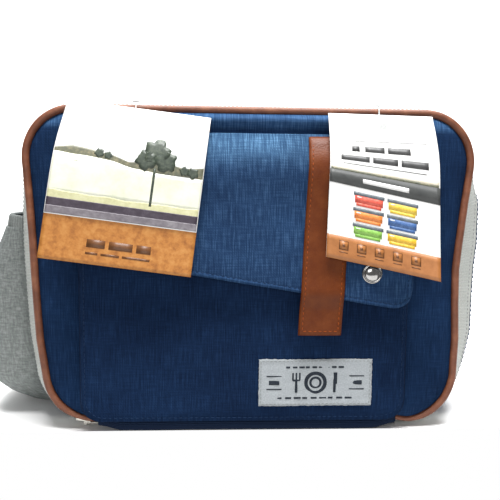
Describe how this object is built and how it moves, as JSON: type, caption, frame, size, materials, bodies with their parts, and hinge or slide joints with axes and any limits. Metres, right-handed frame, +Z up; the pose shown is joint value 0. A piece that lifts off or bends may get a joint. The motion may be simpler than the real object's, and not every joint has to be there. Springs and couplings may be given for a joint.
{
  "type": "soft insulated lunch bag",
  "caption": "Soft insulated lunch bag with a zipped fold-down front, snap-flap pocket with leather strap, side bottle pocket, hang tags and a rear carry handle.",
  "frame": {"origin": "centre of the underside of the flat base", "axes": "+Z up, -Y towards the zipped front, +X to the right as the front is seen"},
  "size_m": [0.3157, 0.1751, 0.1992],
  "materials": {
    "canvas": "matt woven canvas with vertical slubs",
    "insulation": "soft closed-cell foam",
    "lining": "wipeable silvery film",
    "binding": "ribbed binding tape",
    "hinge_fabric": "plain weave",
    "zip_tape": "herringbone tape",
    "zip_coil": "moulded coil",
    "zip_metal": "satin plated",
    "heather_knit": "brushed heather weave",
    "elastic": "ribbed elastic",
    "leather": "cognac leather, semi-gloss",
    "label_weave": "woven label",
    "snap_chrome": "polished",
    "tag_backing": "coated card",
    "tag_picture": "printed card",
    "tag_info": "printed card",
    "black_plastic": "smooth",
    "clear_nylon": "smooth",
    "webbing": "woven webbing",
    "ring_chrome": "plated wire"
  },
  "bodies": {
    "shell": {"gusset_outer": "canvas", "base_outer": "canvas", "back_outer": "canvas", "gusset_foam": "insulation", "base_foam": "insulation", "back_foam": "insulation", "body_liner": "lining", "mouth_binding": "binding", "shell_zip_tape": "zip_tape", "shell_zip_coil": "zip_coil", "zip_stop_start": "zip_metal", "zip_stop_end": "zip_metal", "hinge_strip": "hinge_fabric", "side_pocket": "heather_knit", "side_pocket_elastic": "elastic", "handle_chape_left": "webbing", "handle_chape_right": "webbing"},
    "front_panel": {"panel_outer": "canvas", "panel_foam": "insulation", "panel_liner": "lining", "panel_binding": "binding", "panel_piping": "leather", "hinge_band": "hinge_fabric", "panel_zip_coil": "zip_coil", "panel_zip_tape": "zip_tape", "pocket_face": "canvas", "pocket_gusset": "canvas", "pocket_hem": "binding", "woven_label": "label_weave", "snap_stud_left": "snap_chrome", "snap_stud_right": "snap_chrome", "snap_backing_left": "snap_chrome", "snap_backing_right": "snap_chrome"},
    "flap": {"flap": "canvas", "flap_strap": "leather", "snap_cap_left": "snap_chrome", "snap_cap_right": "snap_chrome", "snap_socket_left": "snap_chrome", "snap_socket_right": "snap_chrome"},
    "left_tag": {"hang_tag_backing_card": "tag_backing", "hang_tag_picture_card": "tag_picture", "tag_fastener_left": "clear_nylon"},
    "right_tag": {"hang_tag_info_card": "tag_info", "tag_fastener_right": "clear_nylon"},
    "slider": {"zip_slider": "zip_metal"},
    "pull": {"zip_pull": "zip_metal"},
    "handle": {"handle_ring_left": "ring_chrome", "handle_ring_right": "ring_chrome", "handle_roll": "webbing", "handle_grip": "leather"}
  },
  "joints": [
    {"name": "panel_fold", "type": "hinge", "parent": "shell", "child": "front_panel", "pos_m": [0, -0.07, 0.0015], "axis": [1, 0, 0], "range_deg": [0, 100]},
    {"name": "flap_fold", "type": "hinge", "parent": "front_panel", "child": "flap", "pos_m": [0, -0.074, 0.1776], "axis": [-1, 0, 0], "range_deg": [0, 115]},
    {"name": "left_tag_swing", "type": "hinge", "parent": "front_panel", "child": "left_tag", "pos_m": [-0.068, -0.0695, 0.1985], "axis": [-1, 0, 0], "range_deg": [0, 115]},
    {"name": "right_tag_swing", "type": "hinge", "parent": "front_panel", "child": "right_tag", "pos_m": [0.076, -0.0695, 0.1985], "axis": [-1, 0, 0], "range_deg": [0, 115]},
    {"name": "slider_run", "type": "hinge", "parent": "shell", "child": "slider", "pos_m": [-0.09663, -0.06, 0.0355], "axis": [0, 1, 0], "range_deg": [0, 74]},
    {"name": "pull_swing", "type": "hinge", "parent": "slider", "child": "pull", "pos_m": [-0.10109, -0.06, 0.00161], "axis": [0, 1, 0], "range_deg": [0, 150]},
    {"name": "handle_swing", "type": "hinge", "parent": "shell", "child": "handle", "pos_m": [0, 0.0744, 0.188], "axis": [1, 0, 0], "range_deg": [0, 180]}
  ],
  "couplings": [
    {"joint": "left_tag_swing", "follows": "flap_fold", "ratio": 1},
    {"joint": "right_tag_swing", "follows": "flap_fold", "ratio": 1}
  ]
}
